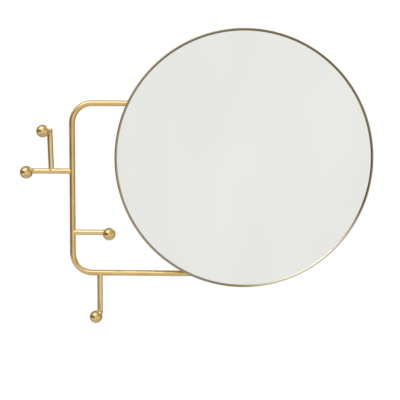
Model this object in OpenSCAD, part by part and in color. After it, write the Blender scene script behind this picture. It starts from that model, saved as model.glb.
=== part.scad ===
// A round wall mirror in a thin brass rim, with a bent tube rack of four ball-ended hooks on its left.
// Everything is drawn as seen from the front: X to the right and Y up from the mirror's centre, and Z
// out from the wall. hung() then stands it against a wall at its back, with the origin on the wall in
// the middle of the rail's screws. Lengths are in millimetres and angles in degrees.

/* [Mirror] */
// Outer diameter of the brass rim
mirror_d = 446; // [376:1:600]
// Width of the rim's round nose, seen from the front
nose_w = 4.4; // [3.6:0.1:8]
// Wall of the rim's band, behind the nose
band_t = 1.4; // [1:0.1:1.4]
// How far the band stops short of the board's back face
band_short = 0.6; // [0.2:0.1:2]
// Thickness of the mirror glass
glass_t = 4; // [3:0.5:6]
// Thickness of the back board
board_t = 9; // [7.5:0.5:16]
// Thickness of the foam tape between the glass and the board
tape_t = 1; // [0.5:0.1:2]
// Width of one strip of tape
tape_w = 25; // [12:1:30]
// Distance between the middles of two strips of tape
tape_pitch = 70; // [40:1:75]
// Number of strips of tape
tape_count = 5; // [2:1:5]
// Number of screws through the band into the board's edge
band_screw_count = 6; // [3:1:12]

/* [Rack] */
// Outer diameter of the rack's tube
tube_d = 10; // [8:0.5:14]
// Wall of the rack's tube
tube_wall = 1; // [0.8:0.1:1.5]
// Height of the rack, between the middles of its two arms
rack_h = 299; // [250:1:360]
// How far the rack's upright is left of the mirror's centre
rack_x = 300; // [280:5:380]
// How far the middle of the lower arm is above the mirror's lowest point
low_inset = 20; // [20:1:60]
// How far the two arms run past the mirror's centre, behind it
arm_past = 60; // [50:1:70]
// Radius of the rack's two bends, at the tube's middle
bend_r = 35; // [15:1:45]
// Length of the plug in each hidden end of the tube
plug_l = 9; // [4:1:20]
// Thickness of the plug's head
plug_head = 1.5; // [1:0.5:3]

/* [Hooks] */
// Diameter of the hook arms, which are solid rod
arm_d = 9.5; // [8:0.25:12]
// Reach of a hook arm, from the middle of its parent to the middle of its pin
arm_l = 70; // [50:1:80]
// How far a hook arm runs past the middle of its pin
arm_over = 4; // [3.5:0.5:8]
// Chamfer round the cut end of a hook arm
arm_edge = 0.4; // [0.1:0.1:1]
// How far the left arm is below the rack's upper arm
left_drop = 119; // [100:1:150]
// How far the right arm is below the rack's upper arm
right_drop = 227; // [190:1:240]
// How far the upper hook's arm is left of the rack's upright
upper_x = 37; // [20:1:50]
// Lean of the upper hook's arm towards the left
upper_lean = 2; // [0:0.5:8]
// How far the lower hook's arm is right of the rack's upright
lower_x = 48; // [46:1:90]
// Diameter of the pins
pin_d = 7; // [6:0.25:7.5]
// How far a ball's middle stands in front of its arm's middle
pin_reach = 43; // [30:1:60]
// Lean of each pin across its arm, for the upper, left, right and lower hook
pin_across = [2.5, 1.5, 2.75, 0]; // [0:0.25:4]
// Lean of each pin away from its arm's root, for the same hooks
pin_along = [-1.5, 0, 1.5, -1]; // [-3:0.25:3]
// Diameter of the turned ends of a pin, inside the arm and the ball
spigot_d = 4.8; // [3:0.1:5]
// How far past its middle an arm is drilled for its pin
arm_drill = 1.2; // [0.5:0.1:2.5]
// How deep a ball is drilled for its pin
ball_drill = 9; // [5:0.5:12]
// Diameter of the ball knobs
ball_d = 21.5; // [18:0.5:30]
// Width of the flat ring on a ball, around its pin
ball_land = 0.3; // [0.2:0.1:1]

/* [Tube clips] */
// Thickness of the clips' steel strip
clip_t = 1.5; // [1:0.1:2]
// Width of a clip, along the tube
clip_w = 24; // [18:1:30]
// Length of a clip's foot, past the strip that stands beside the tube
clip_foot = 13; // [11:0.5:20]
// Distance from a clip to the board's edge
clip_edge = 12; // [6:1:20]
// Distance from a clip to the plug at the end of the tube
clip_plug = 4; // [2:1:10]
// Distance from the back of a clip to the wall
clip_wall = 1.5; // [1:0.1:5]

/* [Hanging rail] */
// Length of both rails
rail_l = 200; // [140:5:240]
// Thickness of the rails
rail_t = 2.5; // [2:0.1:3]
// Height of a rail's flat base
rail_base = 20; // [18:0.5:30]
// Height of a rail's hook, with its web
rail_hook = 14; // [10:0.5:20]
// Height of the web above the middle of the screws
rail_web = 6; // [5:0.5:8]
// Distance between the middles of the two wall slots
slot_pitch = 160; // [80:5:160]
// Length of a wall slot, end to end
slot_l = 12; // [8:0.5:16]
// Width of a wall slot
slot_w = 5; // [4:0.25:5.5]
// Distance between the middles of two screws in the mirror's rail
rail_screw_pitch = 56; // [30:1:56]
// Number of screws in the mirror's rail
rail_screw_count = 4; // [2:1:4]
// Room between the mirror's rail and the feet of the upper clips
rail_room = 6; // [3:1:20]

/* [Bumpers] */
// Diameter of a wall bumper where it is glued on
bumper_d = 20; // [12:1:30]
// How much smaller a bumper is at the wall
bumper_taper = 3; // [0:0.5:6]
// Distance from a bumper's middle to the board's edge
bumper_in = 60; // [30:1:70]
// Angle between a bumper and straight down, seen from the mirror's centre
bumper_turn = 35; // [20:1:60]

/* [Screws] */
// Diameter of all the screws
screw_d = 3.5; // [3:0.25:4]
// Diameter of a screw's pan head
head_d = 7; // [6:0.25:8]
// Height of a screw's pan head
head_h = 2.2; // [1.8:0.1:3]
// Length of a pan-head screw under its head
screw_l = 8; // [6:0.5:8.5]
// Length of a band screw, with its head
band_screw_l = 16; // [10:1:25]
// Diameter of a band screw's sunk head
sunk_d = 6.5; // [6.5:0.25:7]
// Width of the slots in a cross recess
cross_w = 1; // [0.8:0.1:1.2]
// Length of the slots in a cross recess
cross_l = 4; // [3:0.25:4.5]
// Depth of a cross recess
cross_t = 1.2; // [0.8:0.1:1.4]

/* [Clearances] */
// Room around the glass and the board, inside the band
edge_gap = 0.4; // [0.2:0.1:1]
// Gap between the rack's tube and what it lies against
seat_gap = 0.1; // [0.05:0.05:0.5]
// Gap filled by hard solder where two pieces are joined
solder_gap = 0.05; // [0.02:0.01:0.1]
// Room around a screw or a pin in its hole
hole_gap = 0.05; // [0.02:0.01:0.2]
// Gap between the hooks of the two rails, out from the wall
rail_gap = 0.5; // [0.3:0.1:1]
// Gap under a rail's hook, where the mirror's weight rests
rest_gap = 0.1; // [0.05:0.05:0.3]

/* [Hidden] */
$fn = 96;
// Every cut runs this far past the faces that it goes through
through = 1;
// Distances out from the wall
tube_out = clip_wall + clip_t + seat_gap + tube_d / 2;
board_out = tube_out + tube_d / 2 + seat_gap;
band_out = board_out + band_short;
board_front = board_out + board_t;
glass_out = board_front + tape_t;
glass_front = glass_out + glass_t;
// The mirror
mirror_r = mirror_d / 2;
held_r = mirror_r - band_t - edge_gap;
band_screw_out = board_out + board_t / 2;
// The rack
arm_low = low_inset - mirror_r;
arm_top = arm_low + rack_h;
bore_d = tube_d - 2 * tube_wall;
// The clips
clip_in_r = tube_d / 2 + seat_gap;
clip_out_r = clip_in_r + clip_t;
clip_reach = clip_in_r + clip_foot;
clip_inner_x = arm_past - plug_l - clip_plug - clip_w / 2;
// The rails
hook_out = (board_out + rail_gap) / 2;
web_top = rail_web + rail_t;
hook_top = rail_web + rail_hook;
turned_y = web_top + rest_gap + hook_top;
mirror_rail_top = turned_y - web_top + rail_base;
rail_y = arm_top - clip_reach - rail_room - mirror_rail_top;
// The hooks, in the order upper, left, right, lower
HOOK_X = [-rack_x - upper_x, -rack_x, -rack_x, lower_x - rack_x];
HOOK_Y = [arm_top - left_drop, arm_top - left_drop, arm_top - right_drop, arm_low];
HOOK_TURN = [0, 90, -90, 180];
HOOK_LEAN = [upper_lean, 0, 0, 0];
PARENT_D = [arm_d, tube_d, tube_d, tube_d];
ball_flat = sqrt(pow(ball_d / 2, 2) - pow(pin_d / 2 + ball_land, 2));
spigot_front = pin_reach - ball_flat + ball_drill - through;
// Colours
BRASS = [0.83, 0.66, 0.36];
STEEL = [0.70, 0.71, 0.73];
ALLOY = [0.80, 0.81, 0.83];
SILVERED = [0.90, 0.92, 0.92];
BOARD = [0.55, 0.43, 0.31];
FOAM = [0.95, 0.95, 0.93];
RUBBER = [0.12, 0.12, 0.13];

// Half the width of the board at height y
function half_chord(y) = sqrt(held_r * held_r - y * y);

// Left ends of the outer clips: as near to the board's edge as clip_edge lets them be
function clip_outer_x(arm_y) = clip_edge + clip_w / 2 - half_chord(abs(arm_y) + clip_out_r);

// Stands the drawing up against the wall
module hung() {
    translate([0, 0, -rail_y]) rotate([90, 0, 0]) children();
}

// ---- Screws ----

module cross_recess() {
    for (turn = [0, 90])
        rotate(turn) translate([-cross_l / 2, -cross_w / 2, -cross_t])
            cube([cross_l, cross_w, cross_t + through]);
}

// A pan-head screw: the underside of its head is at height 0 and it points down
module pan_screw() {
    difference() {
        union() {
            cylinder(d1 = head_d, d2 = head_d - head_h, h = head_h);
            translate([0, 0, -screw_l + screw_d / 2]) cylinder(d = screw_d, h = screw_l);
            translate([0, 0, -screw_l]) cylinder(d1 = screw_d / 4, d2 = screw_d, h = screw_d / 2);
        }
        translate([0, 0, head_h]) cross_recess();
    }
}

// A sunk-head screw: the top of its head is at height 0 and it points down
module sunk_screw(room = 0) {
    sink = (sunk_d - screw_d) / 2;
    translate([0, 0, -sink]) cylinder(d1 = screw_d + 2 * room, d2 = sunk_d + 2 * room, h = sink);
    translate([0, 0, -band_screw_l - room]) cylinder(d = screw_d + 2 * room, h = band_screw_l + room);
}

// The sunk hole for its head, through the whole band
module sunk_hole() {
    sink = (sunk_d - screw_d) / 2;
    translate([0, 0, -sink])
        cylinder(d1 = screw_d + 2 * hole_gap, d2 = sunk_d + 2 * (hole_gap + through), h = sink + through);
}

// Places a screw's drawing round the band, with its head outwards
module at_band_screws() {
    for (i = [0 : band_screw_count - 1])
        rotate((i + 0.5) * 360 / band_screw_count)
            translate([mirror_r, 0, band_screw_out]) rotate([0, 90, 0]) children();
}

// Places a screw's drawing on the mirror's rail, with its head towards the wall
module at_rail_screws() {
    for (i = [0 : rail_screw_count - 1])
        translate([(i - (rail_screw_count - 1) / 2) * rail_screw_pitch, rail_y + turned_y,
            board_out - rail_t]) rotate([180, 0, 0]) children();
}

// Places a clip's drawing at each of the four clips: its Y points towards the mirror's centre
module at_clip(arm_y, x) {
    translate([x, arm_y, board_out]) mirror([0, arm_y > 0 ? 1 : 0, 0]) children();
}

module at_all_clips() {
    for (arm_y = [arm_top, arm_low], x = [clip_outer_x(arm_y), clip_inner_x])
        at_clip(arm_y, x) children();
}

module at_clip_screws() {
    for (side = [-1, 1])
        translate([side * clip_w / 4, (clip_out_r + clip_reach) / 2, -clip_t])
            rotate([180, 0, 0]) children();
}

// The round hole that a pan-head screw goes into, with room around its shank
module pan_hole() {
    translate([0, 0, -screw_l - hole_gap]) cylinder(d = screw_d + 2 * hole_gap, h = screw_l + through);
}

// ---- Rails ----

// Section of a rail: Y is up, and X is out from the face that it is screwed to
module rail_section() {
    translate([0, web_top - rail_base]) square([rail_t, rail_base]);
    translate([0, rail_web]) square([hook_out + rail_t, rail_t]);
    translate([hook_out, rail_web]) square([rail_t, rail_hook]);
}

module rail_bar() {
    translate([-rail_l / 2, 0, 0]) rotate([90, 0, 90]) linear_extrude(rail_l)
        mirror([1, 0]) rotate(90) rail_section();
}

module wall_slot() {
    straight = slot_l - slot_w;
    for (side = [-1, 1])
        translate([side * straight / 2, 0, -through]) cylinder(d = slot_w, h = rail_t + 2 * through);
    translate([-straight / 2, -slot_w / 2, -through]) cube([straight, slot_w, rail_t + 2 * through]);
}

module wall_rail() {
    color(ALLOY) hung() translate([0, rail_y, 0]) difference() {
        rail_bar();
        for (side = [-1, 1]) translate([side * slot_pitch / 2, 0, 0]) wall_slot();
    }
}

module mirror_rail() {
    color(ALLOY) hung() difference() {
        translate([0, rail_y + turned_y, board_out]) rotate([180, 0, 0]) rail_bar();
        at_rail_screws() pan_hole();
    }
}

module rail_screws() {
    color(STEEL) hung() at_rail_screws() pan_screw();
}

// ---- Mirror ----

module back_board() {
    color(BOARD) hung() difference() {
        translate([0, 0, board_out]) cylinder(r = held_r, h = board_t);
        at_rail_screws() pan_hole();
        at_all_clips() at_clip_screws() pan_hole();
        at_band_screws() sunk_screw(room = hole_gap);
    }
}

module foam_tape() {
    color(FOAM) hung()
        for (i = [0 : tape_count - 1]) {
            x = (i - (tape_count - 1) / 2) * tape_pitch;
            half_l = half_chord(abs(x) + tape_w / 2) - clip_edge;
            translate([x - tape_w / 2, -half_l, board_front]) cube([tape_w, 2 * half_l, tape_t]);
        }
}

module mirror_glass() {
    color(SILVERED) hung() translate([0, 0, glass_out]) cylinder(r = held_r, h = glass_t);
}

// A band round the glass and the board, with a half-round nose that laps over the glass's edge
module rim() {
    color(BRASS) hung() difference() {
        rotate_extrude() {
            translate([mirror_r - band_t, band_out]) square([band_t, glass_front - band_out]);
            translate([mirror_r - nose_w / 2, glass_front]) intersection() {
                circle(d = nose_w);
                translate([-nose_w, 0]) square([2 * nose_w, nose_w]);
            }
        }
        at_band_screws() sunk_hole();
    }
}

module band_screws() {
    color(STEEL) hung() at_band_screws() difference() {
        sunk_screw();
        cross_recess();
    }
}

module wall_bumpers() {
    color(RUBBER) hung()
        for (side = [-1, 1])
            rotate(side * bumper_turn) translate([0, bumper_in - held_r, 0])
                cylinder(d1 = bumper_d - bumper_taper, d2 = bumper_d, h = board_out);
}

// ---- Rack ----

module tube_ring() {
    difference() {
        circle(d = tube_d);
        circle(d = bore_d);
    }
}

// A straight stretch of tube along Z
module tube_run(l) {
    linear_extrude(l) tube_ring();
}

// A quarter bend round the Z axis, from X to Y
module tube_bend() {
    rotate_extrude(angle = 90) translate([bend_r, 0]) tube_ring();
}

module rack_tube() {
    run = rack_x - bend_r + arm_past;
    color(BRASS) hung() translate([bend_r - rack_x, 0, tube_out]) {
        translate([0, arm_top, 0]) rotate([0, 90, 0]) tube_run(run);
        translate([0, arm_top - bend_r, 0]) rotate(90) tube_bend();
        translate([-bend_r, arm_low + bend_r, 0]) rotate([-90, 0, 0]) tube_run(rack_h - 2 * bend_r);
        translate([0, arm_low + bend_r, 0]) rotate(180) tube_bend();
        translate([0, arm_low, 0]) rotate([0, 90, 0]) tube_run(run);
    }
}

// A plug that closes the tube's end: its head is outside and its stem is inside
module tube_plug(arm_y) {
    color(RUBBER) hung() translate([arm_past, arm_y, tube_out]) rotate([0, 90, 0]) {
        cylinder(d = tube_d, h = plug_head);
        translate([0, 0, plug_head - plug_l]) cylinder(d = bore_d - 2 * seat_gap, h = plug_l);
    }
}

// Section of a clip: X is towards the mirror's centre, and Y is from the board towards the wall
module clip_section() {
    middle = tube_d / 2 + seat_gap;
    difference() {
        union() {
            translate([0, middle]) circle(r = clip_out_r);
            translate([-clip_out_r, 0]) square([2 * clip_out_r, middle]);
            square([clip_reach, clip_t]);
        }
        translate([0, middle]) circle(r = clip_in_r);
        translate([-clip_in_r, -through]) square([2 * clip_in_r, middle + through]);
        translate([-clip_out_r, -clip_out_r]) square([2 * clip_out_r, clip_out_r]);
    }
}

module tube_clip(arm_y, x) {
    color(STEEL) hung() at_clip(arm_y, x) difference() {
        translate([-clip_w / 2, 0, 0]) mirror([0, 0, 1]) rotate([90, 0, 90])
            linear_extrude(clip_w) clip_section();
        at_clip_screws() pan_hole();
    }
}

module clip_screws() {
    color(STEEL) hung() at_all_clips() at_clip_screws() pan_screw();
}

// ---- Hooks ----

// Puts a drawing at hook i, with Y along its arm from the middle of its parent
module at_hook(i) {
    hung() translate([HOOK_X[i], HOOK_Y[i], tube_out]) rotate(HOOK_TURN[i]) children();
}

// Puts a drawing at the foot of hook i's pin, with Z along the pin, inside at_hook
module at_pin(i) {
    rotate(HOOK_LEAN[i]) translate([0, arm_l, 0]) rotate([-pin_along[i], -pin_across[i], 0]) children();
}

// The arm's rod along Y, with a chamfer round its cut end
module arm_rod() {
    rod_l = arm_l + arm_over;
    rotate([-90, 0, 0]) {
        cylinder(d = arm_d, h = rod_l - arm_edge);
        translate([0, 0, rod_l - arm_edge]) cylinder(d1 = arm_d, d2 = arm_d - 2 * arm_edge, h = arm_edge);
    }
}

// An arm: its root is cut to fit round its parent, and a pin's hole is drilled near its end
module hook_arm(i) {
    color(BRASS) at_hook(i) difference() {
        rotate(HOOK_LEAN[i]) arm_rod();
        at_pin(i) translate([0, 0, -arm_drill]) cylinder(d = spigot_d + 2 * hole_gap, h = arm_d);
        rotate([0, 90, 0]) cylinder(d = PARENT_D[i] + 2 * solder_gap, h = 4 * arm_d, center = true);
    }
}

// A pin: its root is cut to fit round the arm, and both its ends are turned down
module hook_pin(i) {
    color(BRASS) at_hook(i) {
        difference() {
            at_pin(i) cylinder(d = pin_d, h = pin_reach - ball_flat);
            rotate([-90, 0, HOOK_LEAN[i]]) cylinder(d = arm_d + 2 * solder_gap, h = arm_l + 2 * pin_d);
        }
        at_pin(i) translate([0, 0, -arm_drill + hole_gap])
            cylinder(d = spigot_d, h = spigot_front + arm_drill - hole_gap);
    }
}

// A ball knob: flat where the pin's shoulder seats, and drilled for the pin's end
module ball_knob(i) {
    color(BRASS) at_hook(i) at_pin(i) translate([0, 0, pin_reach]) difference() {
        sphere(d = ball_d);
        translate([0, 0, -ball_flat - ball_d]) cylinder(d = 2 * ball_d, h = ball_d);
        translate([0, 0, -ball_flat - through])
            cylinder(d = spigot_d + 2 * hole_gap, h = ball_drill + through);
    }
}

wall_rail();
mirror_rail();
rail_screws();
back_board();
foam_tape();
mirror_glass();
rim();
band_screws();
rack_tube();
tube_plug(arm_top);  // tube_plug_upper
tube_plug(arm_low);  // tube_plug_lower
tube_clip(arm_top, clip_outer_x(arm_top));  // tube_clip_upper_left
tube_clip(arm_top, clip_inner_x);  // tube_clip_upper_right
tube_clip(arm_low, clip_outer_x(arm_low));  // tube_clip_lower_left
tube_clip(arm_low, clip_inner_x);  // tube_clip_lower_right
clip_screws();
hook_arm(0);  // upper_arm
hook_arm(1);  // left_arm
hook_arm(2);  // right_arm
hook_arm(3);  // lower_arm
hook_pin(0);  // upper_pin
hook_pin(1);  // left_pin
hook_pin(2);  // right_pin
hook_pin(3);  // lower_pin
ball_knob(0);  // upper_ball
ball_knob(1);  // left_ball
ball_knob(2);  // right_ball
ball_knob(3);  // lower_ball
wall_bumpers();
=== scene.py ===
# %% [markdown]
# # A round wall mirror with a rack of brass hooks
#
# The mirror hangs on a rail on the wall. A thin brass band holds the glass, and a bent brass tube
# stands out on its left with four short arms, each with a ball on its front. The design gives every
# piece its size and place, so this lesson only makes what the eye wants on top of that: round metal
# that is truly smooth, soldered joints, softened edges, and finishes.

# %% Load the frame
import math

import bmesh
import bpy
from mathutils import Matrix, Vector


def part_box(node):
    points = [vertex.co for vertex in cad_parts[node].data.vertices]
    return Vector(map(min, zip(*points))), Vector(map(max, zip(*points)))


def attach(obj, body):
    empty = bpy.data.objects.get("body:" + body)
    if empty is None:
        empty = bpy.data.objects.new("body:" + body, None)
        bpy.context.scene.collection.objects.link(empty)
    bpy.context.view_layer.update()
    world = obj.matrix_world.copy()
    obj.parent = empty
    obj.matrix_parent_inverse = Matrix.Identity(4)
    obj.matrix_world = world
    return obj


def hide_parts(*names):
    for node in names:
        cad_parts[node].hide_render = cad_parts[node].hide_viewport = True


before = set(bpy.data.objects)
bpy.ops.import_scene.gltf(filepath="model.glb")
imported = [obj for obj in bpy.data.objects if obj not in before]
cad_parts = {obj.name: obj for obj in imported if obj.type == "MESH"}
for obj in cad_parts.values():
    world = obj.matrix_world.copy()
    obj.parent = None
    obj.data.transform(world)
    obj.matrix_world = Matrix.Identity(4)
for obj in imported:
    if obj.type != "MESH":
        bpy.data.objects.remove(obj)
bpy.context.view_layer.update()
MM = 0.001

# %% [markdown]
# ## Camera
#
# The picture is taken a little to the left of the mirror's middle, at its height, from 1.2 m away,
# with a 63 mm lens. A camera looks along its own -Z axis, so the three axes are worked out from the
# way it points, and become the columns of its matrix.

# %% Camera
glass_low, glass_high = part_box("mirror_glass")
middle = (glass_low + glass_high) / 2
tube_low, tube_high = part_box("rack_tube")
tube_y = (tube_low.y + tube_high.y) / 2

CAMERA_LEFT = 51.3 * MM
CAMERA_BACK = 1229 * MM
CAMERA_UP = 11.4 * MM
YAW, PITCH, ROLL = (math.radians(a) for a in (-1.1, -3.9, 0.3))

ahead = Vector((math.sin(YAW) * math.cos(PITCH), math.cos(YAW) * math.cos(PITCH), math.sin(PITCH)))
level = Vector((math.cos(YAW), -math.sin(YAW), 0))
upright = level.cross(ahead)
right = level * math.cos(ROLL) + upright * math.sin(ROLL)
up = upright * math.cos(ROLL) - level * math.sin(ROLL)

bpy.ops.object.camera_add()
camera = bpy.context.object
camera.data.lens = 63
camera.data.sensor_width = 36
camera.matrix_world = Matrix.Translation(
    (middle.x - CAMERA_LEFT, tube_y - CAMERA_BACK, middle.z + CAMERA_UP)
) @ Matrix((right, up, -ahead)).transposed().to_4x4()
bpy.context.scene.camera = camera
print("camera at", [round(v, 3) for v in camera.location])

# %% [markdown]
# ## Light
#
# Brass has almost no colour of its own: it shows what stands around it. A studio therefore builds
# the surroundings of a brass object with care. Here a big soft box hangs above and to the left,
# with a small bright lamp beside it that gives each ball its spot. A warm dark flag on the left
# draws the brown line down every upright, a dimmer wall on the right does the same more gently,
# and the room's upper right is dim, which shades the balls on that side. The room behind the camera
# is bright, because the mirror shows it. The flag and the wall reach only a little below the
# horizon, so a mirror that is seen from well above doesn't show them. The world is the quickest way
# to make such surroundings. It is white to the camera itself.

# %% A sum that builds nodes
OBJECT_PLACE = 3
MIX_SHARE, MIX_FIRST, MIX_SECOND, MIX_COLOUR = 0, 6, 7, 2


class Out:
    """What comes out of a node. Sums with it add Math nodes, so a pattern reads as a formula."""

    def __init__(self, sheet, socket):
        self.sheet, self.socket = sheet, socket

    def math(self, operation, *others):
        numbers = dict(enumerate((self, *others)))
        return self.sheet.node("ShaderNodeMath", {"operation": operation}, numbers)

    def __add__(self, other):
        return self.math("ADD", other)

    def __mul__(self, other):
        return self.math("MULTIPLY", other)

    def __sub__(self, other):
        return self.math("SUBTRACT", other)

    def __rsub__(self, other):
        return self.sheet.node("ShaderNodeMath", {"operation": "SUBTRACT"}, {0: other, 1: self})

    __radd__, __rmul__ = __add__, __mul__

    def step(self, start, end):
        """0 before start, 1 after end, and smooth between them."""
        return self.sheet.node(
            "ShaderNodeMapRange", {"interpolation_type": "SMOOTHSTEP"}, {0: self, 1: start, 2: end}
        )


# %% A sheet of nodes
class Sheet:
    """A node tree, for a material or for the world."""

    def __init__(self, owner):
        owner.use_nodes = True
        self.tree = owner.node_tree

    def node(self, kind, settings=None, inputs=None, out=0):
        made = self.tree.nodes.new(kind)
        for name, value in (settings or {}).items():
            setattr(made, name, value)
        for key, value in (inputs or {}).items():
            self.plug(made.inputs[key], value)
        return Out(self, made.outputs[out])

    def plug(self, socket, value):
        if isinstance(value, Out):
            self.tree.links.new(value.socket, socket)
        else:
            socket.default_value = value

    def mix(self, share, first, second):
        """A colour between two others."""
        inputs = {MIX_SHARE: share, MIX_FIRST: first, MIX_SECOND: second}
        return self.node("ShaderNodeMix", {"data_type": "RGBA"}, inputs, out=MIX_COLOUR)

    def split(self, vector):
        """The three numbers of a vector."""
        parts = self.node("ShaderNodeSeparateXYZ", None, {0: vector})
        return [Out(self, s) for s in parts.socket.node.outputs]


# %% World
# How bright the room is on each side, where 1 is white, and how warm the wall and floor are
FRONT, CEILING, BEHIND = 0.90, 1.00, 0.36
LEFT_FLAG, RIGHT_WALL, HIGH_RIGHT = 0.25, 0.84, 0.55
WHITE, WARM = (1, 1, 1, 1), (1, 0.70, 0.40, 1)
WALL_WARMTH, FLOOR_WARMTH = 0.4, 0.35

# Where each part of the room fades in and is full, as the share of a direction along one axis
ABOVE_FLAG, BELOW_FLAG = (0.25, 0.55), (0.20, 0.29)
FLAG_SPAN, WALL_SPAN = (0.11, 0.34), (0.3, 0.9)
HIGH_RIGHT_SPAN, HIGH_RIGHT_RISE = (0.1, 0.5), (0.1, 0.4)
CEILING_SPAN, FLOOR_SPAN, BACK_SPAN = (0.3, 0.8), (0.1, 0.8), (-0.15, 0.35)

world = bpy.data.worlds.new("studio")
bpy.context.scene.world = world
sky = Sheet(world)
way_x, way_y, way_z = sky.split(sky.node("ShaderNodeTexCoord"))
near_horizon = (1 - way_z.step(*ABOVE_FLAG)) * (1 - (way_z * -1).step(*BELOW_FLAG))
overhead = way_z.step(*CEILING_SPAN)
to_left = (way_x * -1).step(*FLAG_SPAN) * near_horizon
to_right = way_x.step(*WALL_SPAN) * near_horizon
high_right = way_x.step(*HIGH_RIGHT_SPAN) * way_z.step(*HIGH_RIGHT_RISE)
to_back = way_y.step(*BACK_SPAN)
underfoot = (way_z * -1).step(*FLOOR_SPAN)


def toward(glow, share, level):
    """Moves a glow by a share of the way to another level."""
    return glow * (1 - share) + share * level


glow = overhead * (CEILING - FRONT) + FRONT
glow = toward(glow, to_left, LEFT_FLAG)
glow = toward(glow, to_right, RIGHT_WALL)
glow = toward(glow, high_right, HIGH_RIGHT)
glow = toward(glow, to_back, BEHIND)
seen = sky.node("ShaderNodeLightPath")
tint = (to_left + to_right * WALL_WARMTH + underfoot * FLOOR_WARMTH).math("MINIMUM", 1)
background = sky.tree.nodes["Background"]
sky.plug(background.inputs["Color"], sky.mix(tint * (1 - seen), WHITE, WARM))
sky.plug(background.inputs["Strength"], toward(glow, seen, 1))
print("world nodes", len(sky.tree.nodes))


# %% Soft boxes
LAMPS = {
    "key": {"way": (-0.34, -0.55, 0.76), "distance": 2.2, "side": 1.9, "added_glow": 0.7},
    "lamp": {"way": (-0.50, -0.55, 0.60), "distance": 2.2, "side": 0.5, "added_glow": 2.2},
    "back_light": {"way": (0.45, 0.8, 0.55), "distance": 2.4, "side": 1.4, "added_glow": 1.8},
}


def soft_box(name, way, distance, side, added_glow):
    """A square lamp that faces the mirror's middle. Its glow adds to the world's behind it."""
    bpy.ops.object.light_add(type="AREA", location=middle + Vector(way).normalized() * distance)
    lamp = bpy.context.object
    lamp.name = name
    lamp.rotation_euler = (lamp.location - middle).to_track_quat("Z", "Y").to_euler()
    lamp.data.shape = "RECTANGLE"
    lamp.data.size = lamp.data.size_y = side
    lamp.data.energy = added_glow * math.pi * side**2
    lamp.visible_camera = False
    print(name, round(lamp.data.energy, 1), "W")


for name, settings in LAMPS.items():
    soft_box(name, **settings)

# %% [markdown]
# ## Floor
#
# The mirror hangs at eye level, so the floor is far below. It is a wide pale disc that fades out at
# its edge, and so never ends in a line.

# %% Floor
FLOOR_DROP = 1.35
FLOOR_R = 2.6
FADE_START, FADE_END = 0.35 * FLOOR_R, 0.95 * FLOOR_R
FLOOR_WHITE = (0.86, 0.86, 0.85, 1)

bpy.ops.mesh.primitive_circle_add(
    vertices=96, radius=FLOOR_R, fill_type="NGON", location=(0, 0, middle.z - FLOOR_DROP)
)
floor = bpy.context.object
floor.name = "floor"
pale = Sheet(bpy.data.materials.new("pale_floor"))
floor_x, floor_y, _ = pale.split(pale.node("ShaderNodeTexCoord", out=OBJECT_PLACE))
from_middle = (floor_x * floor_x + floor_y * floor_y).math("SQRT")
faded = pale.tree.nodes["Principled BSDF"]
faded.inputs["Base Color"].default_value = FLOOR_WHITE
faded.inputs["Roughness"].default_value = 0.8
pale.plug(faded.inputs["Alpha"], 1 - from_middle.step(FADE_START, FADE_END))
floor.data.materials.append(bpy.data.materials["pale_floor"])
bpy.context.scene.view_settings.view_transform = "Standard"
print("floor at", round(floor.location.z, 3))


# %% [markdown]
# ## Finishes
#
# Each finish is a formula over Object coordinates, in metres, so that a scratch has a real size
# and a pattern never slides. What varies on the real surface varies here, and on the rim and the
# arms some light and shade is painted as well.

# %% The start of a finish
class Finish(Sheet):
    """A material whose shader sockets are set by name."""

    def __init__(self, name):
        self.material = bpy.data.materials.new(name)
        super().__init__(self.material)
        self.place = self.node("ShaderNodeTexCoord", out=OBJECT_PLACE)

    def set(self, **sockets):
        shader = self.tree.nodes["Principled BSDF"]
        for name, value in sockets.items():
            self.plug(shader.inputs[name.replace("_", " ")], value)

    def noise(self, size, detail=2.0, stretch=(1, 1, 1)):
        """Cloudy numbers round 0.5, with patches of a size in metres."""
        where = self.node("ShaderNodeMapping", None, {"Vector": self.place, "Scale": stretch})
        return self.node(
            "ShaderNodeTexNoise", None, {"Vector": where, "Scale": 1 / size, "Detail": detail}
        )

    def cells(self, size):
        """Numbers that rise from the middle of each cell, with cells of a size in metres."""
        return self.node("ShaderNodeTexVoronoi", None, {"Vector": self.place, "Scale": 1 / size})

    def bump(self, height, depth):
        """Normals that follow a height between 0 and 1, worth depth metres."""
        inputs = {"Height": height, "Strength": 1.0, "Distance": depth}
        return self.node("ShaderNodeBump", None, inputs)


# %% [markdown]
# ### Brass
#
# The rack is satin brass under a clear lacquer: warm yellow, a little deeper in some places than in
# others, with faint rub marks. The lacquer is a coat that adds a thin white shine. The arms and
# pins are drawn rod, painted a paler brass than the tube as painted highlight. The balls are
# turned and polished before they are lacquered, so they are smoother than the rod and the tube.

# %% Brass
BRASS_LIGHT = (0.82, 0.60, 0.245, 1)
BRASS_DEEP = (0.74, 0.505, 0.175, 1)
# The rod's paler colours are painted highlight, which brightens the arms and pins.
ROD_HIGHLIT_LIGHT = (0.88, 0.69, 0.34, 1)
ROD_HIGHLIT_DEEP = (0.81, 0.61, 0.26, 1)


def brass_finish(name, light, deep, roughness):
    brass = Finish(name)
    patches = brass.noise(22 * MM, 3)
    rubs = brass.noise(2.5 * MM, 3)
    hairs = brass.noise(0.5 * MM, 2, (1, 0.2, 1))
    brass.set(
        Base_Color=brass.mix(patches.step(0.3, 0.7), deep, light),
        Metallic=1.0,
        Roughness=roughness + patches * 0.06 + rubs * 0.05,
        Coat_Weight=1.0,
        Coat_Roughness=0.08,
        Normal=brass.bump(rubs * 0.5 + hairs * 0.5, 0.002 * MM),
    )
    return brass.material


BRASS = brass_finish("lacquered_brass", BRASS_LIGHT, BRASS_DEEP, 0.21)
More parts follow.
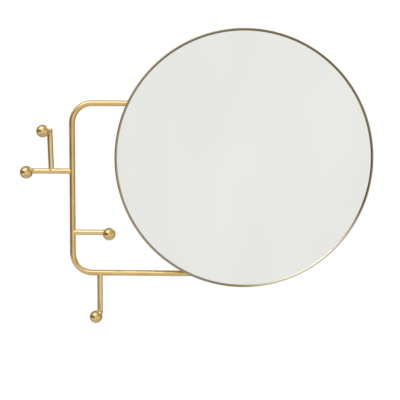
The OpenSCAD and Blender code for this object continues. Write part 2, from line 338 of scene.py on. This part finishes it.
# The arms and pins take the paler copy, as painted highlight.
DRAWN_PAINTED_HIGHLIGHT = brass_finish("drawn_brass_painted_highlight", ROD_HIGHLIT_LIGHT, ROD_HIGHLIT_DEEP, 0.21)
POLISHED = brass_finish("polished_brass", BRASS_LIGHT, BRASS_DEEP, 0.13)

# %% [markdown]
# ### Rim
#
# The rim is the same brass, toned dark. Its crest is painted darkest, as painted shade, and its
# flanks are lighter. It is also painted pale where it faces low on the right, and a little on the
# left and the right, as painted light. The crest is found by its distance from the mirror's axis,
# and the painted light by the way each stretch faces.

# %% Rim brass
rim_low, rim_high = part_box("rim")
RIM_R = (rim_high.x - rim_low.x) / 2
NOSE_W = 4.4 * MM
CREST_IN = 2.6 * MM
CREST_SPAN = (0.9 * MM, 2.4 * MM)
# The crest colour is painted shade: the dark line along the rim's front.
CREST_PAINTED_SHADE = (0.165, 0.125, 0.06, 1)
FLANK = (0.50, 0.41, 0.25, 1)
# The pale colour is painted light where the rim faces certain ways, and also a faint random tone.
PALE_AND_PAINTED_LIGHT = (0.86, 0.80, 0.62, 1)
# Where the rim is painted pale, as painted light: the way a stretch faces, how near to that way it
# starts, where 1 is right on it, and how much painted light it gets in its middle
PAINTED_LIGHT_STRETCHES = [
    {"way": (0.545, -0.839), "start": 0.78, "painted_lightening": 0.8},
    {"way": (-0.94, -0.34), "start": 0.2, "painted_lightening": 0.3},
    {"way": (1, 0), "start": 0.75, "painted_lightening": 0.1},
]


def rim_finish():
    rim = Finish("toned_brass_painted_light")
    x, _, z = rim.split(rim.place)
    lift = z - middle.z
    out = (x * x + lift * lift).math("SQRT")
    off_crest = (out - (RIM_R - CREST_IN)).math("ABSOLUTE")
    patches = rim.noise(30 * MM, 3)
    rubs = rim.noise(1.0 * MM, 3)
    flank = off_crest.step(*CREST_SPAN)
    tone_and_painted_light = patches * 0.1
    # Each stretch paints the rim paler where it faces its way, as painted light.
    for stretch in PAINTED_LIGHT_STRETCHES:
        across, upward = stretch["way"]
        facing = (x * across + lift * upward) * (1 / RIM_R)
        tone_and_painted_light = tone_and_painted_light + facing.step(stretch["start"], 1.0) * stretch["painted_lightening"]
    # The crest gets the darkest colour, as painted shade.
    toned_and_crest_shade = rim.mix(flank * (0.8 + patches * 0.3), CREST_PAINTED_SHADE, FLANK)
    rim.set(
        Base_Color=rim.mix(tone_and_painted_light, toned_and_crest_shade, PALE_AND_PAINTED_LIGHT),
        Metallic=1.0,
        Roughness=0.2 + rubs * 0.12,
        Coat_Weight=0.4,
        Coat_Roughness=0.1,
        Normal=rim.bump(rubs, 0.008 * MM),
    )
    return rim.material


RIM_BRASS = rim_finish()

# %% [markdown]
# ### Silvered glass
#
# A mirror is a layer of silver behind glass. The silver takes a little light and the glass a little
# red, so white comes back as a pale, faintly green grey. Very faint wiping marks blur it here
# and there.

# %% Silvered glass
SILVER = (0.905, 0.915, 0.875, 1)
SILVER_DIM = (0.88, 0.89, 0.86, 1)


def glass_finish():
    glass = Finish("silvered_glass")
    broad = glass.noise(160 * MM, 1, (1.6, 1, 0.7))
    wipes = glass.noise(25 * MM, 4, (1, 1, 0.25))
    glass.set(
        Base_Color=glass.mix(broad.step(0.3, 0.7), SILVER_DIM, SILVER),
        Metallic=1.0,
        Roughness=0.012 + wipes.step(0.5, 0.8) * 0.02,
    )
    return glass.material


SILVERED = glass_finish()

# %% [markdown]
# ### Back of the mirror
#
# Behind the glass is a raw fibreboard: short pale and dark fibres, pressed flat, with the odd dark
# speck. Fibres are noise that is squeezed one way and laid over the same noise squeezed the other.

# %% Fibreboard
BOARD_DARK = (0.17, 0.095, 0.045, 1)
BOARD_LIGHT = (0.36, 0.225, 0.115, 1)


def board_finish():
    board = Finish("raw_fibreboard")
    across = board.noise(1.2 * MM, 3, (1, 1, 0.22))
    along = board.noise(1.2 * MM, 3, (0.22, 1, 1))
    clouds = board.noise(60 * MM, 3)
    specks = board.noise(2.2 * MM, 1).step(0.70, 0.76)
    fibres = across * 0.5 + along * 0.5
    shade = fibres.step(0.36, 0.64) * 0.7 + clouds * 0.45 - specks * 0.5
    board.set(
        Base_Color=board.mix(shade, BOARD_DARK, BOARD_LIGHT),
        Roughness=0.78 + fibres * 0.15,
        Normal=board.bump(fibres, 0.12 * MM),
    )
    return board.material


BOARD = board_finish()

# %% [markdown]
# ### Rails, clips and screws
#
# The rails are pressed through a die, which leaves fine lines along them. The clips and screws are
# steel with a thin coat of zinc, whose crystals show as soft grey patches.

# %% Alloy and zinc
ALLOY_DARK, ALLOY_LIGHT = (0.50, 0.51, 0.53, 1), (0.74, 0.75, 0.77, 1)
ZINC_DARK, ZINC_LIGHT = (0.38, 0.40, 0.43, 1), (0.66, 0.67, 0.69, 1)


def alloy_finish():
    alloy = Finish("extruded_alloy")
    lines = alloy.noise(0.6 * MM, 3, (0.012, 1, 1))
    clouds = alloy.noise(18 * MM, 2)
    alloy.set(
        Base_Color=alloy.mix(lines.step(0.3, 0.7) * 0.6 + clouds * 0.4, ALLOY_DARK, ALLOY_LIGHT),
        Metallic=1.0,
        Roughness=0.3 + lines * 0.16,
        Normal=alloy.bump(lines, 0.03 * MM),
    )
    return alloy.material


def zinc_finish():
    zinc = Finish("zinc_plate")
    cells = zinc.cells(3.2 * MM)
    dust = zinc.noise(0.8 * MM, 3)
    zinc.set(
        Base_Color=zinc.mix(cells * 0.7 + dust * 0.4, ZINC_LIGHT, ZINC_DARK),
        Metallic=1.0,
        Roughness=0.26 + dust * 0.18,
        Normal=zinc.bump(dust, 0.012 * MM),
    )
    return zinc.material


ALLOY, ZINC = alloy_finish(), zinc_finish()

# %% [markdown]
# ### Rubber and foam
#
# Rubber and foam are dull. Rubber has a fine moulded grain and grey dust, and foam has open cells.

# %% Rubber and foam
RUBBER_BLACK, RUBBER_DUST = (0.018, 0.018, 0.02, 1), (0.06, 0.06, 0.062, 1)
FOAM_PALE, FOAM_CELL = (0.80, 0.80, 0.77, 1), (0.55, 0.55, 0.52, 1)


def rubber_finish():
    rubber = Finish("moulded_rubber")
    grain = rubber.noise(0.5 * MM, 2)
    dust = rubber.noise(6 * MM, 4)
    rubber.set(
        Base_Color=rubber.mix(dust.step(0.45, 0.8), RUBBER_BLACK, RUBBER_DUST),
        Roughness=0.55 + dust * 0.25,
        Normal=rubber.bump(grain, 0.04 * MM),
    )
    return rubber.material


def foam_finish():
    foam = Finish("foam_tape")
    cells = foam.cells(0.6 * MM)
    foam.set(
        Base_Color=foam.mix(cells, FOAM_PALE, FOAM_CELL),
        Roughness=0.9,
        Normal=foam.bump(cells, 0.05 * MM),
    )
    return foam.material


RUBBER, FOAM = rubber_finish(), foam_finish()
print("finishes", sorted(m.name for m in bpy.data.materials if m.use_nodes))


# %% [markdown]
# ## Tools for the bench
#
# A few helpers keep the cells below short. An operator works on all that is selected, so the first
# thing each one does is deselect everything.

# %% Picking and finishing
WELD = 0.001 * MM
SKIN_WELD = 0.002 * MM


def only(piece):
    """Selects one object and nothing else."""
    if bpy.context.object and bpy.context.object.mode != "OBJECT":
        bpy.ops.object.mode_set(mode="OBJECT")
    bpy.ops.object.select_all(action="DESELECT")
    piece.select_set(True)
    bpy.context.view_layer.objects.active = piece


def pick(piece, kind, test):
    """In edit mode, selects the vertices, edges or faces whose place passes a test."""
    bpy.ops.mesh.select_mode(type={"verts": "VERT", "edges": "EDGE", "faces": "FACE"}[kind])
    bpy.ops.mesh.select_all(action="DESELECT")
    mesh = bmesh.from_edit_mesh(piece.data)
    for part in getattr(mesh, kind):
        spot = part.co if kind == "verts" else (
            part.calc_center_median() if kind == "faces" else (part.verts[0].co + part.verts[1].co) / 2
        )
        if test(spot):
            part.select_set(True)
    mesh.select_flush(True)
    bmesh.update_edit_mesh(piece.data)


def pull(x=0.0, y=0.0, z=0.0):
    """Extrudes what is selected by a distance."""
    bpy.ops.mesh.extrude_region_move(TRANSFORM_OT_translate={"value": (x, y, z)})


def close_up(piece):
    """Merges doubles and turns every face outwards, in edit mode."""
    bpy.ops.mesh.select_all(action="SELECT")
    bpy.ops.mesh.remove_doubles(threshold=WELD)
    bpy.ops.mesh.normals_make_consistent(inside=False)
    bpy.ops.object.mode_set(mode="OBJECT")


def bevelled(piece, width, segments=3, angle=35):
    """Rounds every edge that is sharper than an angle."""
    only(piece)
    rounder = piece.modifiers.new("edges", "BEVEL")
    rounder.width, rounder.segments = width, segments
    rounder.limit_method, rounder.angle_limit = "ANGLE", math.radians(angle)
    rounder.use_clamp_overlap = False
    bpy.ops.object.modifier_apply(modifier=rounder.name)


def finished(piece, name, node_names, material, body="mirror", smooth=30):
    """Settles a piece at the origin, gives it its material and body, and hides the parts it stands for.
    """
    only(piece)
    piece.name = piece.data.name = name
    bpy.ops.object.transform_apply(location=True, rotation=True, scale=True)
    bpy.ops.object.shade_smooth_by_angle(angle=math.radians(smooth))
    even = piece.modifiers.new("normals", "WEIGHTED_NORMAL")
    even.keep_sharp = True
    bpy.ops.object.modifier_apply(modifier=even.name)
    piece.data.materials.clear()
    piece.data.materials.append(material)
    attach(piece, body)
    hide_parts(*node_names)
    faces = len(piece.data.polygons)
    print(name, "faces", faces, "size mm", [round(v / MM, 1) for v in piece.dimensions])
    return piece


# %% [markdown]
# ## Rim
#
# The rim is a strip bent round the glass, with a half-round nose that laps over it. It could be a
# torus and a cylinder, but one section turned round the axis keeps the joint between them clean.
# The section starts as a circle. Its back half goes, the outer end is drawn back as the band's
# outside, then in by the band's wall, and forward again to the nose. Six cones then cut the sunk
# holes of the screws.

# %% Rim section
BAND_T = 1.4 * MM
RIM_STEPS = 300
BAND_SCREWS = 6
HOLE_R = 3.3 * MM
HOLE_SLOPE = 1.5 * MM

glass_front = glass_low.y
band_back = rim_high.y
nose_r = NOSE_W / 2

bpy.ops.mesh.primitive_circle_add(
    vertices=40, radius=nose_r, location=(RIM_R - nose_r, glass_front, middle.z)
)
rim = bpy.context.object
only(rim)
bpy.ops.object.transform_apply(location=True, rotation=True, scale=True)
bpy.ops.object.mode_set(mode="EDIT")
TINY = 0.02 * MM
pick(rim, "verts", lambda p: p.y > glass_front + TINY)
bpy.ops.mesh.delete(type="VERT")
pick(rim, "verts", lambda p: p.x > RIM_R - TINY)
pull(y=band_back - glass_front)
pull(x=-BAND_T)
pull(y=glass_front - band_back)
pick(rim, "verts", lambda p: abs(p.y - glass_front) < TINY and p.x < RIM_R - TINY)
bpy.ops.mesh.edge_face_add()
print("rim section points", len(rim.data.vertices))

# %% Rim turned round the axis
bpy.ops.mesh.select_all(action="SELECT")
bpy.ops.mesh.spin(steps=RIM_STEPS, angle=2 * math.pi, center=middle, axis=(0, 1, 0))
close_up(rim)

# %% Screw holes in the band
board_low, board_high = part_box("back_board")
board_y = (board_low.y + board_high.y) / 2

for i in range(BAND_SCREWS):
    turn = (i + 0.5) * 2 * math.pi / BAND_SCREWS
    way = Vector((math.cos(turn), 0, math.sin(turn)))
    bpy.ops.mesh.primitive_cone_add(
        vertices=48,
        radius1=HOLE_R - HOLE_SLOPE - BAND_T,
        radius2=HOLE_R + BAND_T,
        depth=4 * BAND_T,
        location=Vector((middle.x, board_y, middle.z)) + way * RIM_R,
        rotation=way.to_track_quat("Z", "Y").to_euler(),
    )
    cone = bpy.context.object
    only(rim)
    cutter = rim.modifiers.new("hole", "BOOLEAN")
    cutter.object, cutter.operation, cutter.solver = cone, "DIFFERENCE", "EXACT"
    bpy.ops.object.modifier_apply(modifier=cutter.name)
    bpy.data.objects.remove(cone)
finished(rim, "rim_ring", ["rim"], RIM_BRASS)

# %% [markdown]
# ## Glass
#
# The glass is a round plate of 4 mm. Its front edge is ground to a narrow arris so that it
# doesn't chip, and the rim's nose hides most of that. A many-sided cylinder with that edge bevelled
# is enough, because its face is truly flat.

# %% Glass
bpy.ops.mesh.primitive_cylinder_add(
    vertices=256,
    radius=(glass_high.x - glass_low.x) / 2,
    depth=glass_high.y - glass_low.y,
    location=middle,
    rotation=(math.radians(90), 0, 0),
)
glass = bpy.context.object
bevelled(glass, 0.6 * MM, 2)
finished(glass, "glass_plate", ["mirror_glass"], SILVERED)

# %% [markdown]
# ## Rack tube
#
# The rack is one tube, bent twice. A curve with a round section would do, but the bench way shows
# more: a ring is drawn along the upper arm, spun through a quarter turn, drawn down, spun again
# and drawn back. Solidify then gives the tube its wall, which shows at its two hidden ends.

# %% Rack tube
TUBE_R = (tube_high.y - tube_low.y) / 2
BEND_R = 35 * MM
TUBE_WALL = 1 * MM
BEND_STEPS = 28

top_z, low_z = tube_high.z - TUBE_R, tube_low.z + TUBE_R
upright_x = tube_low.x + TUBE_R
bend_x = upright_x + BEND_R

bpy.ops.mesh.primitive_circle_add(
    vertices=64, radius=TUBE_R, location=(tube_high.x, tube_y, top_z), rotation=(0, math.radians(90), 0)
)
tube = bpy.context.object
only(tube)
bpy.ops.object.transform_apply(location=True, rotation=True, scale=True)
bpy.ops.object.mode_set(mode="EDIT")
bpy.ops.mesh.select_all(action="SELECT")
pull(x=bend_x - tube_high.x)
quarter = math.pi / 2
bpy.ops.mesh.spin(
    steps=BEND_STEPS, angle=quarter, center=(bend_x, tube_y, top_z - BEND_R), axis=(0, 1, 0)
)
pull(z=low_z - top_z + 2 * BEND_R)
bpy.ops.mesh.spin(
    steps=BEND_STEPS, angle=quarter, center=(bend_x, tube_y, low_z + BEND_R), axis=(0, 1, 0)
)
pull(x=tube_high.x - bend_x)
close_up(tube)
wall = tube.modifiers.new("wall", "SOLIDIFY")
wall.thickness, wall.offset = TUBE_WALL, -1
bpy.ops.object.modifier_apply(modifier=wall.name)
finished(tube, "rack_pipe", ["rack_tube"], BRASS, smooth=50)


# %% [markdown]
# ## Arms and pins
#
# An arm and a pin are the same kind of thing: a rod that leaves another rod at a right angle and is
# silver-soldered to it. The solder draws into the corner as a small hollow fillet, largest along
# the parent and almost nothing at its flanks, where the two surfaces run flush. A boolean would
# leave that corner dead sharp. Here the rod's lowest ring is extruded again and again, and each new
# ring is laid on a quarter circle that ends on the parent's round surface.

# %% A rod with a soldered root
FILLET_STEPS = 8
FLUSH_FILLET = 0.15 * MM
SINK = 0.25 * MM
FILLET_FADE = 1.5


def soldered_rod(root, way, along, parent_r, radius, length, fillet, chamfer):
    """A rod from a point on its parent's axis. along is the parent's direction, way is the rod's."""
    bpy.ops.mesh.primitive_cylinder_add(
        vertices=72, radius=radius, depth=length, location=(0, 0, length / 2)
    )
    rod = bpy.context.object
    only(rod)
    bpy.ops.object.transform_apply(location=True, rotation=True, scale=True)
    bpy.ops.object.mode_set(mode="EDIT")
    pick(rod, "faces", lambda p: p.z < TINY)
    bpy.ops.mesh.delete(type="ONLY_FACE")
    for i in range(FILLET_STEPS + 2):
        pick(rod, "verts", lambda p: p.z < TINY - i)
        pull(z=-1)
    bpy.ops.mesh.merge(type="CENTER")
    bpy.ops.object.mode_set(mode="OBJECT")
    for vertex in rod.data.vertices:
        if vertex.co.z > TINY:
            continue
        ring = round(-vertex.co.z)
        if ring > FILLET_STEPS + 1:
            vertex.co.z = 0
            continue
        angle = math.atan2(vertex.co.y, vertex.co.x)
        reach = fillet * abs(math.cos(angle)) ** FILLET_FADE + FLUSH_FILLET
        lean = min(ring, FILLET_STEPS) / FILLET_STEPS * math.pi / 2
        out = radius + reach * (1 - math.cos(lean))
        side = out * math.sin(angle)
        height = math.sqrt(max(parent_r**2 - side**2, 0)) + reach * (1 - math.sin(lean))
        if ring > FILLET_STEPS:
            height -= SINK
        vertex.co = (out * math.cos(angle), side, height)
    if chamfer:
        bpy.ops.object.mode_set(mode="EDIT")
        pick(rod, "edges", lambda p: p.z > length - TINY)
        bpy.ops.mesh.bevel(offset=chamfer, segments=3, affect="EDGES")
    bpy.ops.object.mode_set(mode="EDIT")
    close_up(rod)
    axes = Matrix((along, way.cross(along), way)).transposed().to_4x4()
    rod.matrix_world = Matrix.Translation(root) @ axes
    return rod


# %% [markdown]
# ## Balls
#
# A ball knob is turned from bar: a sphere with a small flat where the pin's shoulder seats. So a
# sphere is cut by a plane at its back, and the edge of the cut is eased.

# %% A ball knob
def ball_knob(centre, radius, back, flat):
    """A ball with a flat at a distance from its centre, on the side that back points to."""
    turn = back.to_track_quat("Z", "Y").to_euler()
    bpy.ops.mesh.primitive_uv_sphere_add(
        segments=96, ring_count=64, radius=radius, location=centre, rotation=turn
    )
    ball = bpy.context.object
    only(ball)
    bpy.ops.object.transform_apply(location=True, rotation=True, scale=True)
    bpy.ops.object.mode_set(mode="EDIT")
    bpy.ops.mesh.select_all(action="SELECT")
    bpy.ops.mesh.bisect(
        plane_co=centre + back * flat, plane_no=back, use_fill=True, clear_outer=True, threshold=WELD
    )
    bpy.ops.mesh.bevel(offset=0.15 * MM, segments=2, affect="EDGES")
    close_up(ball)
    return ball


# %% [markdown]
# The design's boxes say where each ball and each arm's end is. A pin starts from the middle of its
# arm, a little before the arm's end, and runs forward to the ball. It was soldered by eye, so it
# leans a degree or two, and the ball leans with it.

# %% The four hooks
ARM_OVER = 4 * MM
ARM_EDGE = 0.4 * MM
UPPER_LEAN = math.radians(2)
ARM_FILLET = 0.9 * MM
PIN_R = 3.5 * MM
PIN_FILLET = 0.7 * MM
BALL_LAND = 0.3 * MM

X_WAY, Z_WAY, OUT_WAY = Vector((1, 0, 0)), Vector((0, 0, 1)), Vector((0, -1, 0))
LEAN_WAY = Vector((-math.sin(UPPER_LEAN), 0, math.cos(UPPER_LEAN)))
HOOKS = {"upper": LEAN_WAY, "left": -X_WAY, "right": X_WAY, "lower": -Z_WAY}


def box_middle(node):
    low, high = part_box(node)
    return (low + high) / 2


arm_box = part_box("left_arm")
ARM_R = (arm_box[1].z - arm_box[0].z) / 2
left_z = box_middle("left_arm").z
ROOTS = {
    "left": Vector((upright_x, tube_y, left_z)),
    "right": Vector((upright_x, tube_y, box_middle("right_arm").z)),
    "lower": Vector((box_middle("lower_arm").x, tube_y, low_z)),
}
ARM_L = upright_x - arm_box[0].x - ARM_OVER
upper_end_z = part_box("upper_arm")[1].z - ARM_R * math.sin(UPPER_LEAN)
upper_reach = (upper_end_z - left_z) / LEAN_WAY.z
upper_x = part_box("upper_arm")[0].x + ARM_R * math.cos(UPPER_LEAN) - LEAN_WAY.x * upper_reach
ROOTS["upper"] = Vector((upper_x, tube_y, left_z))
print("arm reach mm", round(ARM_L / MM, 2), round((upper_reach - ARM_OVER) / MM, 2))


# %% A hook
def hook(name):
    way, root = HOOKS[name], ROOTS[name]
    ball_low, ball_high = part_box(name + "_ball")
    radius = (ball_high.x - ball_low.x) / 2
    centre = box_middle(name + "_ball")
    centre.y = ball_low.y + radius
    foot = root + way * ARM_L
    parent_r = ARM_R if name == "upper" else TUBE_R
    arm_l = ARM_L + ARM_OVER
    arm = soldered_rod(root, way, way.cross(OUT_WAY), parent_r, ARM_R, arm_l, ARM_FILLET, ARM_EDGE)
    finished(arm, name + "_rod", [name + "_arm"], DRAWN_PAINTED_HIGHLIGHT)
    pin_way = (centre - foot).normalized()
    across = pin_way.cross(way).normalized()
    flat = math.sqrt(radius**2 - (PIN_R + BALL_LAND) ** 2)
    pin_l = (centre - foot).length - flat + SINK
    pin = soldered_rod(foot, pin_way, across.cross(pin_way), ARM_R, PIN_R, pin_l, PIN_FILLET, 0)
    finished(pin, name + "_post", [name + "_pin"], DRAWN_PAINTED_HIGHLIGHT)
    ball = ball_knob(centre, radius, -pin_way, flat)
    finished(ball, name + "_knob", [name + "_ball"], POLISHED)
    lean = math.degrees(pin_way.angle(OUT_WAY))
    print(name, "pin leans", round(lean, 2), "degrees")


for name in HOOKS:
    hook(name)


# %% [markdown]
# ## Pieces behind the glass
#
# The board, rails, clips, screws, plugs and bumpers have the right shape in the design, but their
# edges are perfectly sharp, and no real edge is. A copy of each is merged into one skin, its flat
# triangles are dissolved, and a narrow bevel goes round its edges to catch the light.

# %% Eased copies
def eased(node, width, material, body="mirror", segments=2):
    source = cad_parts[node]
    copy = source.copy()
    copy.data = source.data.copy()
    for key in [k for k in copy.keys() if k.startswith("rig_")]:
        del copy[key]
    copy.parent = None
    bpy.context.scene.collection.objects.link(copy)
    only(copy)
    bpy.ops.object.mode_set(mode="EDIT")
    bpy.ops.mesh.select_all(action="SELECT")
    bpy.ops.mesh.customdata_custom_splitnormals_clear()
    bpy.ops.mesh.remove_doubles(threshold=SKIN_WELD)
    bpy.ops.mesh.dissolve_limited(angle_limit=math.radians(1))
    bpy.ops.object.mode_set(mode="OBJECT")
    bevelled(copy, width, segments)
    return finished(copy, node + "_eased", [node], material, body)


eased("wall_rail", 0.25 * MM, ALLOY, "rail")
eased("mirror_rail", 0.25 * MM, ALLOY)
for side in ("upper_left", "upper_right", "lower_left", "lower_right"):
    eased("tube_clip_" + side, 0.2 * MM, ZINC)
for node in ("clip_screws", "rail_screws"):
    eased(node, 0.12 * MM, ZINC)
eased("band_screws", 0.08 * MM, BRASS)
eased("wall_bumpers", 0.8 * MM, RUBBER, segments=4)
for side in ("upper", "lower"):
    eased("tube_plug_" + side, 0.4 * MM, RUBBER, segments=3)

# %% [markdown]
# The board and the tape keep the design's own shape. Only their finish changes.

# %% Finishes on the design's own pieces
for node, material in {"back_board": BOARD, "foam_tape": FOAM}.items():
    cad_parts[node].data.materials.clear()
    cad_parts[node].data.materials.append(material)
    print(node, material.name)
